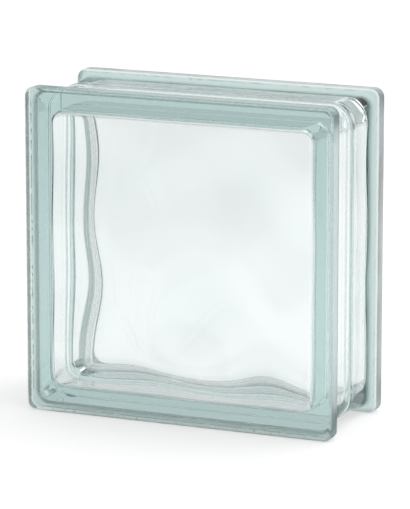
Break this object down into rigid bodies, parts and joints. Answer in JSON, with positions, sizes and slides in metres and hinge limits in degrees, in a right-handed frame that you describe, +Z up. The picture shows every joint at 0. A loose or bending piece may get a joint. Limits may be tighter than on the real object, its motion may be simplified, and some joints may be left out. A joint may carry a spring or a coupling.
{
  "type": "glass block",
  "caption": "Square hollow block of clear pressed glass with wavy inner faces, raised rims and a mortar groove all round.",
  "frame": {"origin": "middle of the underside, on the plane that the two rims stand on", "axes": "+Z up the face, +X across the face, +Y from the front face to the rear face"},
  "size_m": [0.19, 0.08, 0.19],
  "materials": {
    "pressed_glass": "clear pressed glass, faintly green, smooth faces and finely grained rim edges"
  },
  "bodies": {
    "root": {"front_half_shell": "pressed_glass", "rear_half_shell": "pressed_glass"}
  },
  "joints": []
}
